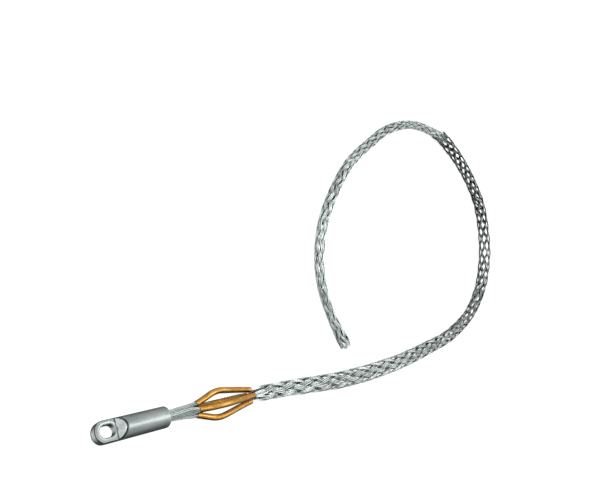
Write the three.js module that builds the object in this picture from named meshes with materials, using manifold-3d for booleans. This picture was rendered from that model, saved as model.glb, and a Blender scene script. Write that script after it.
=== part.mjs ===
// A cable pulling grip for stringing overhead line conductors. A steel pulling eye holds 36 wire ropes,
// which pass in four groups through bowed brass tubes and then become a woven sleeve, first coarse and
// then fine. The cable enters the sleeve at its open mouth. The grip lies on a flat surface in the plan
// view that a loose loop of it takes. Lengths are in millimetres, angles in degrees, with +Z up.
import * as THREE from "three";
import { mergeVertices } from "three/addons/utils/BufferGeometryUtils.js";
import Module from "manifold-3d";

const wasm = await Module();
wasm.setup();

// Clearance between pieces that touch on the real grip
const TOUCH_GAP = 0.3;

// Pulling eye, turned from one round bar and milled flat on two sides at its eye
const EYE_RADIUS = 10.3;
const EYE_LENGTH = 76;
const EYE_ROLL = 28;
const EYE_SIDES = 28;
const TAB_LENGTH = 20.3;
const TAB_THICKNESS = 8.5;
const SHOULDER_SLOPE = 46;
const SLOT_WIDTH = 10.8;
const SLOT_TIP_WALL = 4.8;
const SLOT_END_WALL = 0.6;
const SLOT_CHAMFER = 1.2;
const CUTTER_MARGIN = 1;
const REAR_EDGE_RADIUS = 2.4;
const BORE_DEPTH = 30;
const BORE_CLEARANCE = 0.5;

// Wire ropes
const ROPE_DIAMETER = 1.25;
const ROPE_SPACING = 0.22;
const ROPE_SIDES = 5;
const ROPES_PER_TUBE = 9;

// Spreader tubes, bowed outward into a cage
const TUBE_COUNT = 4;
const TUBE_WALL = 0.5;
const TUBE_SIDES = 12;
const TUBE_START = 110;
const TUBE_END = 188;
const TUBE_BEND = 136;
const TUBE_BEND_REACH = 9;
const TUBE_FRONT_OFFSET = 5.4;
const TUBE_BEND_OFFSET = 14.2;
const TUBE_REAR_OFFSET = 6.3;
const TUBE_FIRST_ANGLE = -11;
const CAGE_SAG = 3;
const NECK_SPREAD_START = 92;
const ROPE_TAIL = 5;

// Woven sleeve
const CELLS_AROUND = 6;
const LATTICE_TURN = -8.7;
const SLEEVE_WALL = 2.5;
const SLEEVE_REST_START = 290;
const COARSE_END = 1292;
const OPEN_ROWS = 20;
const OPEN_SHARE = 0.64;
const FLOOR_SHARE = 0.54;
const FLOOR_DEPTH = 1.9;
const RIM_DROP = 0.5;
const COLLAR_WALL = 4.9;
const COLLAR_LENGTH = 45;
const FINE_OVERLAP = 24;
const FINE_WALL = 1.9;
const FINE_ROW = 14;
const FINE_DIMPLE_DEPTH = 1.4;

// Plan view of the centre line, from the tip of the eye to the mouth of the sleeve
const ROUTE = [
  [-450, -171],
  [-412, -172],
  [-375, -173],
  [-350, -173],
  [-310, -173],
  [-263, -175],
  [-219, -178],
  [-156, -184],
  [-86, -190],
  [-6, -192],
  [86, -190],
  [190, -181],
  [248, -175],
  [303, -162],
  [356, -143],
  [394, -117],
  [420, -87],
  [434, -53],
  [440, -19],
  [437, 15],
  [427, 49],
  [411, 81],
  [384, 110],
  [350, 136],
  [311, 159],
  [269, 178],
  [221, 194],
  [137, 197],
  [82, 186],
  [36, 169],
  [3, 150],
  [-58, 109],
  [-95, 66],
  [-119, 24],
  [-127, -18],
  [-121, -60],
  [-99, -103],
  [-69, -146],
];

// Outer radius of the coarse sleeve and of the fine sleeve, against the length from the tip of the eye
const COARSE_RADIUS = [
  [188, 9.2],
  [225, 9.6],
  [290, 10.7],
  [360, 11.9],
  [440, 12.4],
  [560, 12],
  [700, 11.4],
  [810, 10.8],
  [960, 12.2],
  [1040, 11.6],
  [1150, 10.7],
  [COARSE_END, 11.2],
];
const FINE_RADIUS = [
  [1310, 7.8],
  [1350, 7.5],
  [1400, 7.3],
  [1450, 7.9],
  [1660, 7.9],
  [1830, 6.8],
  [1890, 8.5],
];

// Length of a row of diamonds in the coarse sleeve: where the sleeve is fatter, its rows are shorter
const COARSE_ROW = [
  [860, 18.5],
  [940, 15],
  [1150, 15],
  [COARSE_END, 17],
];

const COLOURS = {
  steel: new THREE.MeshStandardMaterial({ color: 0x828c87, roughness: 0.38, metalness: 0.9 }),
  brass: new THREE.MeshStandardMaterial({ color: 0xc8963f, roughness: 0.3, metalness: 0.95 }),
  rope: new THREE.MeshStandardMaterial({ color: 0x96998f, roughness: 0.5, metalness: 0.8 }),
  weave: new THREE.MeshStandardMaterial({ color: 0xbec8c3, roughness: 0.45, metalness: 0.85 }),
};

const radians = THREE.MathUtils.degToRad;

// The value at x of a smooth curve through a list of [x, value] pairs, level beyond its ends
function profileAt(list, x) {
  if (x <= list[0][0]) return list[0][1];
  const after = list.findIndex((pair) => pair[0] > x);
  if (after < 0) return list[list.length - 1][1];
  const [x0, v0] = list[after - 1];
  const [x1, v1] = list[after];
  return v0 + (v1 - v0) * THREE.MathUtils.smoothstep(x, x0, x1);
}

// Sizes that follow from the driving dimensions
const ropeRadius = ROPE_DIAMETER / 2;
const ropePitch = ROPE_DIAMETER + ROPE_SPACING;
const tubeRopeRing = ropePitch / 2 / Math.sin(Math.PI / (ROPES_PER_TUBE - 1));
const tubeBore = (tubeRopeRing + ropeRadius + ROPE_SPACING) / Math.cos(Math.PI / TUBE_SIDES);
const tubeRadius = tubeBore + TUBE_WALL;
const neckRings = [1, 3, 5].map((each) => ({
  each,
  radius: ropePitch / 2 / Math.sin(Math.PI / (TUBE_COUNT * each)),
}));
const neckRadius = neckRings[neckRings.length - 1].radius + ropeRadius;
const boreRadius = (neckRadius + BORE_CLEARANCE) / Math.cos(Math.PI / EYE_SIDES);
const ropeEnd = TUBE_END + ROPE_TAIL;
const coarseStart = ropeEnd + TOUCH_GAP;

// Distance of a tube's centre line from the grip's own: two straight legs with a rounded bend between
function tubeOffsetAt(s) {
  const leg = (x) =>
    x < TUBE_BEND
      ? THREE.MathUtils.mapLinear(x, TUBE_START, TUBE_BEND, TUBE_FRONT_OFFSET, TUBE_BEND_OFFSET)
      : THREE.MathUtils.mapLinear(x, TUBE_BEND, TUBE_END, TUBE_BEND_OFFSET, TUBE_REAR_OFFSET);
  const from = TUBE_BEND - TUBE_BEND_REACH;
  const to = TUBE_BEND + TUBE_BEND_REACH;
  if (s <= from || s >= to) return leg(s);
  const t = (s - from) / (to - from);
  return (1 - t) ** 2 * leg(from) + 2 * t * (1 - t) * TUBE_BEND_OFFSET + t ** 2 * leg(to);
}

function tubeAngle(index) {
  return radians(TUBE_FIRST_ANGLE + (index * 360) / TUBE_COUNT);
}

// Height of the centre line: each stretch rests on the surface, and the cage on its lowest tube
const tubeIndices = Array.from({ length: TUBE_COUNT }, (_, i) => i);
const lowestSine = Math.max(...tubeIndices.map((i) => -Math.sin(tubeAngle(i))));
const bendStations = [-1, -0.33, 0.33, 1].map((t) => TUBE_BEND + t * TUBE_BEND_REACH);
const bowedTo = Math.max(...bendStations.map(tubeOffsetAt));
const cageHeight = bowedTo * lowestSine + tubeRadius;
const fineStart = COARSE_END - FINE_OVERLAP;
const coarseInnerAtEnd = profileAt(COARSE_RADIUS, COARSE_END) - SLEEVE_WALL;
const fineStartRadius = coarseInnerAtEnd * Math.cos(Math.PI / CELLS_AROUND / 2) - TOUCH_GAP;
const HEIGHTS = [
  [EYE_LENGTH, EYE_RADIUS],
  [TUBE_BEND - TUBE_BEND_REACH, cageHeight],
  [TUBE_BEND + TUBE_BEND_REACH, cageHeight],
  [TUBE_END, cageHeight - CAGE_SAG],
  [SLEEVE_REST_START, profileAt(COARSE_RADIUS, SLEEVE_REST_START)],
];

function heightAt(s) {
  if (s < SLEEVE_REST_START) return profileAt(HEIGHTS, s);
  if (s < COARSE_END) return profileAt(COARSE_RADIUS, s);
  return profileAt([[COARSE_END, coarseInnerAtEnd + SLEEVE_WALL], ...FINE_RADIUS], s);
}

const route = new THREE.CatmullRomCurve3(
  ROUTE.map(([x, y]) => new THREE.Vector3(x, y, 0)),
  false,
  "centripetal",
);
route.arcLengthDivisions = 1200;
const routeLength = route.getLength();
const UP = new THREE.Vector3(0, 0, 1);

// A point at length s along the grip, across steps to its left and over steps up from its centre line
function pointAt(s, across, over) {
  const u = Math.min(s / routeLength, 1);
  const along = route.getTangentAt(u);
  const left = new THREE.Vector3().crossVectors(UP, along).normalize();
  const point = route.getPointAt(u).addScaledVector(left, across);
  point.z = heightAt(s) + over;
  return point;
}

function polarAt(s, angle, radius) {
  return pointAt(s, Math.cos(angle) * radius, Math.sin(angle) * radius);
}

// Collects points and outward triangles of one closed body
class Skin {
  constructor() {
    this.positions = [];
    this.triangles = [];
  }

  point(v) {
    this.positions.push(v.x, v.y, v.z);
    return this.positions.length / 3 - 1;
  }

  face(...corners) {
    for (let i = 2; i < corners.length; i++)
      this.triangles.push(corners[0], corners[i - 1], corners[i]);
  }

  geometry() {
    const made = new THREE.BufferGeometry();
    made.setAttribute("position", new THREE.Float32BufferAttribute(this.positions, 3));
    made.setIndex(this.triangles);
    made.computeVertexNormals();
    return made;
  }
}

// A bar or a tube through sections, each given by its length s and its centre across and over
function sweep(sections, sides, outer, inner) {
  const skin = new Skin();
  const ring = ({ s, across, over }, radius) =>
    Array.from({ length: sides }, (_, i) => {
      const a = (2 * Math.PI * i) / sides;
      return skin.point(pointAt(s, across + radius * Math.cos(a), over + radius * Math.sin(a)));
    });
  const join = (rings, outward) => {
    for (let k = 1; k < rings.length; k++)
      for (let i = 0; i < sides; i++) {
        const next = (i + 1) % sides;
        const quad = [rings[k - 1][i], rings[k - 1][next], rings[k][next], rings[k][i]];
        skin.face(...(outward ? quad : quad.reverse()));
      }
  };
  const outers = sections.map((section) => ring(section, outer));
  const last = outers.length - 1;
  join(outers, true);
  if (!inner) {
    skin.face(...[...outers[0]].reverse());
    skin.face(...outers[last]);
    return skin.geometry();
  }
  const inners = sections.map((section) => ring(section, inner));
  join(inners, false);
  for (let i = 0; i < sides; i++) {
    const next = (i + 1) % sides;
    skin.face(outers[0][next], outers[0][i], inners[0][i], inners[0][next]);
    skin.face(outers[last][i], outers[last][next], inners[last][next], inners[last][i]);
  }
  return skin.geometry();
}

// The places where rows of diamonds begin, from start to end, each row as long as rowLengthAt says
function rowPlaces(start, end, rowLengthAt) {
  const places = [start];
  while (places[places.length - 1] < end) {
    const last = places[places.length - 1];
    places.push(last + rowLengthAt(last));
  }
  const share = (end - start) / (places[places.length - 1] - start);
  return places.map((s) => start + (s - start) * share);
}

// A woven wall: ridges along the bands, and in each diamond between them a dimple, or a sunken floor
// inside a rim if it is rimmed, or an open gap in its last openRows rows but one
function weave({ start, end, rowLengthAt, outerAt, wallAt, sunken, rimmed, openRows }) {
  const places = rowPlaces(start, end, rowLengthAt);
  const rows = places.length - 1;
  const step = (2 * Math.PI) / CELLS_AROUND;
  const skin = new Skin();
  const rowAt = (k) => places[k];
  const cellAngle = (k, j) => (j + (k % 2) / 2) * step + radians(LATTICE_TURN);
  const wrap = (j) => (j + CELLS_AROUND) % CELLS_AROUND;
  const cells = Array.from({ length: CELLS_AROUND }, (_, j) => j);
  const crossing = (k, depthAt) =>
    cells.map((j) => {
      const s = rowAt(k);
      return skin.point(polarAt(s, cellAngle(k, j) + step / 2, outerAt(s) - depthAt(s)));
    });
  const outer = [];
  const inner = [];
  for (let k = 0; k <= rows; k++) {
    outer.push(crossing(k, () => 0));
    inner.push(crossing(k, wallAt));
  }
  const corners = (layer, k, j) => {
    const behind = (k - 1) % 2 === 0 ? j : j - 1;
    return {
      up: layer[k][j],
      down: layer[k][wrap(j - 1)],
      left: k > 0 ? layer[k - 1][wrap(behind)] : null,
      right: k < rows ? layer[k + 1][wrap(k % 2 === 0 ? j - 1 : j)] : null,
    };
  };
  // Four corners inside a cell, a share of the way from its middle to its crossings
  const insetCorners = (k, j, share, depthAt) => {
    const s = rowAt(k);
    const reach = (rowAt(k + 1) - s) * share;
    const turn = (step / 2) * share;
    const spot = (ds, da) => {
      const radius = outerAt(s + ds) - depthAt(s + ds);
      return skin.point(polarAt(s + ds, cellAngle(k, j) + da, radius));
    };
    return { up: spot(0, turn), right: spot(reach, 0), down: spot(0, -turn), left: spot(-reach, 0) };
  };
  const ORDER = ["up", "right", "down", "left"];
  for (let k = 0; k < rows; k++)
    for (const j of cells) {
      const out = corners(outer, k, j);
      const into = corners(inner, k, j);
      if (k > 0 && k >= rows - 1 - openRows && k < rows - 1) {
        const rim = insetCorners(k, j, OPEN_SHARE, () => RIM_DROP);
        const floor = insetCorners(k, j, OPEN_SHARE, wallAt);
        ORDER.forEach((side, i) => {
          const next = ORDER[(i + 1) % 4];
          skin.face(out[side], out[next], rim[next], rim[side]);
          skin.face(rim[side], rim[next], floor[next], floor[side]);
          skin.face(floor[side], floor[next], into[next], into[side]);
        });
        continue;
      }
      if (k > 0 && rimmed) {
        const rim = insetCorners(k, j, OPEN_SHARE, () => RIM_DROP);
        const floor = insetCorners(k, j, FLOOR_SHARE, () => sunken);
        ORDER.forEach((side, i) => {
          const next = ORDER[(i + 1) % 4];
          skin.face(out[side], out[next], rim[next], rim[side]);
          skin.face(rim[side], rim[next], floor[next], floor[side]);
        });
        skin.face(floor.up, floor.right, floor.down, floor.left);
      } else {
        const s = rowAt(k);
        const middle = skin.point(polarAt(s, cellAngle(k, j), outerAt(s) - sunken));
        skin.face(middle, out.up, out.right);
        skin.face(middle, out.right, out.down);
        if (k === 0) {
          skin.face(into.down, into.right, into.up);
          skin.face(out.up, middle, into.up);
          skin.face(middle, out.down, into.down);
          skin.face(middle, into.down, into.up);
          continue;
        }
        skin.face(middle, out.down, out.left);
        skin.face(middle, out.left, out.up);
      }
      skin.face(into.left, into.right, into.up);
      skin.face(into.down, into.right, into.left);
      if (k === rows - 1) {
        skin.face(out.right, out.up, into.up, into.right);
        skin.face(out.down, out.right, into.right, into.down);
      }
    }
  return skin.geometry();
}

function solidOf(geometry) {
  const bare = geometry.clone();
  bare.deleteAttribute("normal");
  bare.deleteAttribute("uv");
  const merged = mergeVertices(bare, 1e-4);
  return new wasm.Manifold(
    new wasm.Mesh({
      numProp: 3,
      vertProperties: new Float32Array(merged.attributes.position.array),
      triVerts: new Uint32Array(merged.index.array),
    }),
  );
}

function geometryOf(solid) {
  const mesh = solid.getMesh();
  const made = new THREE.BufferGeometry();
  made.setAttribute("position", new THREE.BufferAttribute(new Float32Array(mesh.vertProperties), 3));
  made.setIndex(new THREE.BufferAttribute(new Uint32Array(mesh.triVerts), 1));
  made.computeVertexNormals();
  return made;
}

// The outline of a slot with round ends, lying along X with its left end at x = from
function slotShape(from, to, width) {
  const shape = new THREE.Shape();
  const r = width / 2;
  shape.absarc(from + r, 0, r, Math.PI / 2, (3 * Math.PI) / 2, false);
  shape.absarc(to - r, 0, r, -Math.PI / 2, Math.PI / 2, false);
  shape.closePath();
  return shape;
}

// The eye lies along X from its tip, with its flat faces square to Z
function pullingEye() {
  const profile = new THREE.Path();
  profile.moveTo(0, 0);
  profile.lineTo(EYE_RADIUS, 0);
  profile.lineTo(EYE_RADIUS, EYE_LENGTH - REAR_EDGE_RADIUS);
  profile.absarc(
    EYE_RADIUS - REAR_EDGE_RADIUS,
    EYE_LENGTH - REAR_EDGE_RADIUS,
    REAR_EDGE_RADIUS,
    0,
    Math.PI / 2,
    false,
  );
  profile.lineTo(boreRadius, EYE_LENGTH);
  profile.lineTo(boreRadius, EYE_LENGTH - BORE_DEPTH);
  profile.lineTo(0, EYE_LENGTH - BORE_DEPTH);
  const bar = new THREE.LatheGeometry(profile.getPoints(3), EYE_SIDES).rotateZ(-Math.PI / 2);

  const plan = new THREE.Shape();
  plan.absarc(EYE_RADIUS, 0, EYE_RADIUS, Math.PI / 2, (3 * Math.PI) / 2, false);
  plan.lineTo(EYE_LENGTH + CUTTER_MARGIN, -EYE_RADIUS);
  plan.lineTo(EYE_LENGTH + CUTTER_MARGIN, EYE_RADIUS);
  plan.closePath();
  const planDepth = 2 * (EYE_RADIUS + CUTTER_MARGIN);
  const planBlock = new THREE.ExtrudeGeometry(plan, {
    depth: planDepth,
    bevelEnabled: false,
    curveSegments: 12,
  }).translate(0, 0, -planDepth / 2);

  const top = EYE_RADIUS + CUTTER_MARGIN;
  const lean = (top - TAB_THICKNESS / 2) * Math.tan(radians(SHOULDER_SLOPE));
  const side = new THREE.Shape();
  side.moveTo(-CUTTER_MARGIN, TAB_THICKNESS / 2);
  side.lineTo(TAB_LENGTH, TAB_THICKNESS / 2);
  side.lineTo(TAB_LENGTH + lean, top);
  side.lineTo(-CUTTER_MARGIN, top);
  side.closePath();
  const cheek = new THREE.ExtrudeGeometry(side, { depth: planDepth, bevelEnabled: false })
    .translate(0, 0, -planDepth / 2)
    .rotateX(Math.PI / 2);
  const otherCheek = cheek.clone().rotateX(Math.PI);

  const slot = slotShape(SLOT_TIP_WALL, TAB_LENGTH - SLOT_END_WALL, SLOT_WIDTH);
  const slotBlock = new THREE.ExtrudeGeometry(slot, {
    depth: planDepth,
    bevelEnabled: false,
    curveSegments: 10,
  }).translate(0, 0, -planDepth / 2);
  const flare = new THREE.ExtrudeGeometry(slot, {
    depth: CUTTER_MARGIN,
    bevelThickness: SLOT_CHAMFER,
    bevelSize: SLOT_CHAMFER,
    bevelSegments: 2,
    curveSegments: 10,
  }).translate(0, 0, TAB_THICKNESS / 2);
  const otherFlare = flare.clone().rotateX(Math.PI);

  return [cheek, otherCheek, slotBlock, flare, otherFlare]
    .map(solidOf)
    .reduce((body, cutter) => body.subtract(cutter), solidOf(bar).intersect(solidOf(planBlock)));
}

function pullingEyeMesh() {
  const mesh = new THREE.Mesh(geometryOf(pullingEye()), COLOURS.steel);
  const tip = pointAt(0, 0, 0);
  const rear = pointAt(EYE_LENGTH, 0, 0);
  mesh.position.copy(tip);
  mesh.rotation.order = "ZYX";
  mesh.rotation.z = Math.atan2(rear.y - tip.y, rear.x - tip.x);
  mesh.rotation.x = -radians(EYE_ROLL);
  mesh.name = "pulling_eye";
  return mesh;
}

const CAGE_STATIONS = [TUBE_START, ...bendStations, TUBE_END];

function spreaderTube(index) {
  const angle = tubeAngle(index);
  const sections = CAGE_STATIONS.map((s) => ({
    s,
    across: tubeOffsetAt(s) * Math.cos(angle),
    over: tubeOffsetAt(s) * Math.sin(angle),
  }));
  return sweep(sections, TUBE_SIDES, tubeRadius, tubeBore);
}

// Where each of a tube's nine ropes sits: in the neck, on rings about the grip's centre line, and in
// the tube, one in the middle and the others in a ring round it
const ROPE_SEATS = neckRings.flatMap(({ each, radius }, ringIndex) =>
  Array.from({ length: each }, (_, i) => {
    const place = i - (each - 1) / 2;
    return { radius, turn: (place * 360) / (TUBE_COUNT * each), ringIndex, place };
  }),
);

function seatInTube({ ringIndex, place }) {
  if (ringIndex === 1 && place === 0) return { reach: 0, turn: 0 };
  const perRope = 360 / (ROPES_PER_TUBE - 1);
  const turn = [180, 180 - Math.abs(perRope * place), Math.abs(perRope * place)][ringIndex];
  return { reach: tubeRopeRing, turn: Math.sign(place || 1) * turn };
}

function wireRope(tube, seat) {
  const angle = tubeAngle(tube);
  const inNeck = angle + radians(seat.turn);
  const { reach, turn } = seatInTube(seat);
  const inTube = angle + radians(turn);
  const sectionAt = (s) => {
    const blend = THREE.MathUtils.smoothstep(s, NECK_SPREAD_START, TUBE_START);
    const offset = tubeOffsetAt(Math.max(s, TUBE_START));
    const tubeAcross = offset * Math.cos(angle) + reach * Math.cos(inTube);
    const tubeOver = offset * Math.sin(angle) + reach * Math.sin(inTube);
    return {
      s,
      across: THREE.MathUtils.lerp(seat.radius * Math.cos(inNeck), tubeAcross, blend),
      over: THREE.MathUtils.lerp(seat.radius * Math.sin(inNeck), tubeOver, blend),
    };
  };
  const boreFloor = EYE_LENGTH - BORE_DEPTH + TOUCH_GAP;
  const spreadMiddle = (NECK_SPREAD_START + TUBE_START) / 2;
  const neckStations = [boreFloor, EYE_LENGTH, NECK_SPREAD_START, spreadMiddle];
  const stations = [...neckStations, ...CAGE_STATIONS, ropeEnd];
  return sweep(stations.map(sectionAt), ROPE_SIDES, ropeRadius);
}

function coarseSleeve() {
  return weave({
    start: coarseStart,
    end: COARSE_END,
    rowLengthAt: (s) => profileAt(COARSE_ROW, s),
    outerAt: (s) => profileAt(COARSE_RADIUS, s),
    wallAt: (s) =>
      profileAt([[coarseStart, COLLAR_WALL], [coarseStart + COLLAR_LENGTH, SLEEVE_WALL]], s),
    sunken: FLOOR_DEPTH,
    rimmed: true,
    openRows: OPEN_ROWS,
  });
}

function fineSleeve() {
  return weave({
    start: fineStart,
    end: routeLength,
    rowLengthAt: () => FINE_ROW,
    outerAt: (s) => profileAt([[COARSE_END, fineStartRadius], ...FINE_RADIUS], s),
    wallAt: () => FINE_WALL,
    sunken: FINE_DIMPLE_DEPTH,
    rimmed: false,
    openRows: 0,
  });
}

const grip = new THREE.Group();

function add(name, geometry, material) {
  const mesh = new THREE.Mesh(geometry, material);
  mesh.name = name;
  grip.add(mesh);
}

grip.add(pullingEyeMesh());
for (const tube of tubeIndices) {
  add(`spreader_tube_${tube + 1}`, spreaderTube(tube), COLOURS.brass);
  ROPE_SEATS.forEach((seat, i) => {
    const number = String(tube * ROPES_PER_TUBE + i + 1).padStart(2, "0");
    add(`wire_rope_${number}`, wireRope(tube, seat), COLOURS.rope);
  });
}
add("coarse_sleeve", coarseSleeve(), COLOURS.weave);
add("fine_sleeve", fineSleeve(), COLOURS.weave);

export default grip;
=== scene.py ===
"""Looks of the cable pulling grip: steel eye, wire ropes, brass spreader tubes and woven sleeve.

Sizes are in millimetres, as in the CAD part, and MM turns them into Blender's metres. Only the places of
the camera and the lamps, and the sizes of the floor and the lamps, are given in metres.
"""

import math
import random

import bmesh
import bpy
import numpy as np
from mathutils import Matrix, Vector


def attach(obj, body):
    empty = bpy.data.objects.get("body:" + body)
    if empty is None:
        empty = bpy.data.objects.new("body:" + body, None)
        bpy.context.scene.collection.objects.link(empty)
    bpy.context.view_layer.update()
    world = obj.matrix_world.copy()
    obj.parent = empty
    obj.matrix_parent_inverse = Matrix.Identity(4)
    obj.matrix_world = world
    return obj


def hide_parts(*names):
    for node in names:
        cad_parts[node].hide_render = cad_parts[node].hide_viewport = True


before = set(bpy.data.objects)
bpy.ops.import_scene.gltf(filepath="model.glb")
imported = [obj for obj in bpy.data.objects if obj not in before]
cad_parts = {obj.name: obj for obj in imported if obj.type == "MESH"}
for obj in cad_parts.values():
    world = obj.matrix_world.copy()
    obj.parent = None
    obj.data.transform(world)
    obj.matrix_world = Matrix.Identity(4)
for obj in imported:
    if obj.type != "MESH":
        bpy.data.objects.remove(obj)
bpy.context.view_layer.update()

MM = 0.001
SEED = 7

# Camera, as worked out from the photograph
PHOTO_WIDTH_PX = 600
FOCAL_PX = 550
HORIZON_PX = 450
SENSOR_MM = 36
CLIP_START = 0.01
CAMERA_PLACE = Vector((-0.701, -0.013, 0.444))


def make_camera():
    data = bpy.data.cameras.new("camera")
    data.sensor_width = SENSOR_MM
    data.lens = SENSOR_MM * FOCAL_PX / PHOTO_WIDTH_PX
    data.clip_start = CLIP_START
    camera = bpy.data.objects.new("camera", data)
    dip = math.atan2(HORIZON_PX, FOCAL_PX)
    right = Vector((math.sin(dip), 0, math.cos(dip)))
    back = Vector((-math.cos(dip), 0, math.sin(dip)))
    up = back.cross(right)
    turn = Matrix((right, up, back)).transposed().to_4x4()
    camera.matrix_world = Matrix.Translation(CAMERA_PLACE) @ turn
    bpy.context.scene.collection.objects.link(camera)
    bpy.context.scene.camera = camera


make_camera()

# Plan view of the centre line, from the tip of the eye to the mouth of the sleeve
ROUTE = [
    (-450, -171),
    (-412, -172),
    (-375, -173),
    (-350, -173),
    (-310, -173),
    (-263, -175),
    (-219, -178),
    (-156, -184),
    (-86, -190),
    (-6, -192),
    (86, -190),
    (190, -181),
    (248, -175),
    (303, -162),
    (356, -143),
    (394, -117),
    (420, -87),
    (434, -53),
    (440, -19),
    (437, 15),
    (427, 49),
    (411, 81),
    (384, 110),
    (350, 136),
    (311, 159),
    (269, 178),
    (221, 194),
    (137, 197),
    (82, 186),
    (36, 169),
    (3, 150),
    (-58, 109),
    (-95, 66),
    (-119, 24),
    (-127, -18),
    (-121, -60),
    (-99, -103),
    (-69, -146),
]

# Pulling eye
EYE_RADIUS = 10.3
EYE_LENGTH = 76
EYE_ROLL = 28
TAB_LENGTH = 20.3
TAB_THICKNESS = 8.5
SHOULDER_SLOPE = 46
SLOT_WIDTH = 10.8
SLOT_TIP_WALL = 4.8
SLOT_END_WALL = 0.6
SLOT_ROUNDING = 1.8
REAR_EDGE_RADIUS = 2.4
BORE_DEPTH = 30
BORE_CLEARANCE = 0.5

# Wire ropes and spreader tubes
ROPE_DIAMETER = 1.25
ROPE_SPACING = 0.22
ROPES_PER_TUBE = 9
TUBE_COUNT = 4
TUBE_WALL = 0.5
TUBE_START = 110
TUBE_END = 188
TUBE_BEND = 136
TUBE_BEND_REACH = 9
TUBE_FRONT_OFFSET = 5.4
TUBE_BEND_OFFSET = 14.2
TUBE_REAR_OFFSET = 6.3
TUBE_FIRST_ANGLE = -11
CAGE_SAG = 3
CAGE_LIFT = 0.1
NECK_SPREAD_START = 97
NECK_GROWTH = 0.45
ROPE_TAIL = 5
TOUCH_GAP = 0.3

# Woven sleeve
CELLS_AROUND = 6
LATTICE_TURN = -8.7
SLEEVE_REST_START = 290
COARSE_END = 1292
COARSE_RADIUS = [
    (188, 9.2),
    (225, 9.6),
    (290, 10.7),
    (360, 11.9),
    (440, 12.4),
    (560, 12),
    (700, 11.4),
    (810, 10.8),
    (960, 12.2),
    (1040, 11.6),
    (1150, 10.7),
    (COARSE_END, 11.2),
]
COARSE_ROW = [(860, 18.5), (940, 15), (1150, 15), (COARSE_END, 17)]
FINE_RADIUS = [
    (1310, 7.8),
    (1350, 7.5),
    (1400, 7.3),
    (1450, 7.9),
    (1660, 7.9),
    (1830, 6.8),
    (1890, 8.5),
]
FINE_ROW = 14

# How the ropes lie in the weave, which only the looks need. The lists of pitches, of darkening and of
# radii hold pairs of a length along the grip and the value there
BAND_ROPES = 3
COARSE_BAND_PITCH = [(400, 1.98), (780, 1.9), (930, 1.45), (1150, 1.2)]
FINE_BAND_PITCH = [(FINE_RADIUS[0][0], 1.55)]
FINE_SHOWN = 9
COARSE_END_SLANT = 18
COARSE_END_TAPER = 1.9
MOUTH_FLARE = 0.5
MOUTH_FLARE_LENGTH = 42
# How much darker the ropes are along the grip; at the end of the coarse sleeve this darkening is painted
# shade among the loops
COARSE_DARKENING = [(112, 1.4), (200, 0), (500, 0), (800, 0.8), (1200, 1.4), (COARSE_END, 1.9)]
FINE_DARKENING = [(1330, 0), (1400, 0.3), (1700, 0.2), (1850, 0.1), (1895, 1)]
WEAVE_INSET = 0.2
STRAIGHTEN = 0.3
BAND_WANDER = [(140, 0.25), (61, 0.12)]
ROPE_WANDER = [(83, 0.08), (37, 0.05)]
STATIONS_PER_ROW = 6
ROPE_SIDES = 8
ROPE_LAY = 9
STRANDS = 6
FAN_LENGTH = 24
FAN_STRAIGHT = 6
WANDER_FADE = 30
LOOP_ROWS = 0.6
LOOP_STEP = 1.5
LOOP_STATIONS = 14
BORE_STATIONS = 5
NECK_STATIONS = 40
FAN_STATIONS = 12
NECK_TWIST = 22
NECK_TWIST_START = EYE_LENGTH - 10

# Painted shade darkens where this value is above 0: deep in a bundle of ropes, and on what turns from
# the side the light comes from, given below
PAINTED_SHADE_SPAN = 1.8
NECK_SHADE_SHARE = 0.65
LIT_SIDE = np.array((0, 0.48, 0.88))

rope_radius = ROPE_DIAMETER / 2
rope_pitch = ROPE_DIAMETER + ROPE_SPACING
tube_rope_ring = rope_pitch / 2 / math.sin(math.pi / (ROPES_PER_TUBE - 1))
tube_bore = tube_rope_ring + rope_radius + ROPE_SPACING
tube_radius = tube_bore + TUBE_WALL
NECK_RINGS = [
    (each, rope_pitch / 2 / math.sin(math.pi / (TUBE_COUNT * each)))
    for each in (1, 3, 5)
]
neck_radius = NECK_RINGS[-1][1] + rope_radius
bore_radius = neck_radius + BORE_CLEARANCE
half_cell = math.pi / CELLS_AROUND


def smoothstep(x, low, high):
    """Rises smoothly from 0 at low to 1 at high, of which either may be the larger."""
    t = np.clip((x - low) / (high - low), 0, 1)
    return t * t * (3 - 2 * t)


def lerp(a, b, t):
    return a + (b - a) * t


def profile_at(pairs, x):
    """The value at x of a smooth curve through (x, value) pairs, level beyond its ends."""
    if x <= pairs[0][0]:
        return pairs[0][1]
    for (x0, v0), (x1, v1) in zip(pairs, pairs[1:]):
        if x < x1:
            return lerp(v0, v1, smoothstep(x, x0, x1))
    return pairs[-1][1]


def tube_angle(index):
    return math.radians(TUBE_FIRST_ANGLE + index * 360 / TUBE_COUNT)


def tube_offset_at(s):
    """Distance of a tube's centre line from the grip's: two straight legs with a rounded bend."""

    def leg(x):
        if x < TUBE_BEND:
            share = (x - TUBE_START) / (TUBE_BEND - TUBE_START)
            return lerp(TUBE_FRONT_OFFSET, TUBE_BEND_OFFSET, share)
        share = (x - TUBE_BEND) / (TUBE_END - TUBE_BEND)
        return lerp(TUBE_BEND_OFFSET, TUBE_REAR_OFFSET, share)

    low = TUBE_BEND - TUBE_BEND_REACH
    high = TUBE_BEND + TUBE_BEND_REACH
    if s <= low or s >= high:
        return leg(s)
    t = (s - low) / (high - low)
    return (1 - t) ** 2 * leg(low) + 2 * t * (1 - t) * TUBE_BEND_OFFSET + t**2 * leg(high)


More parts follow.
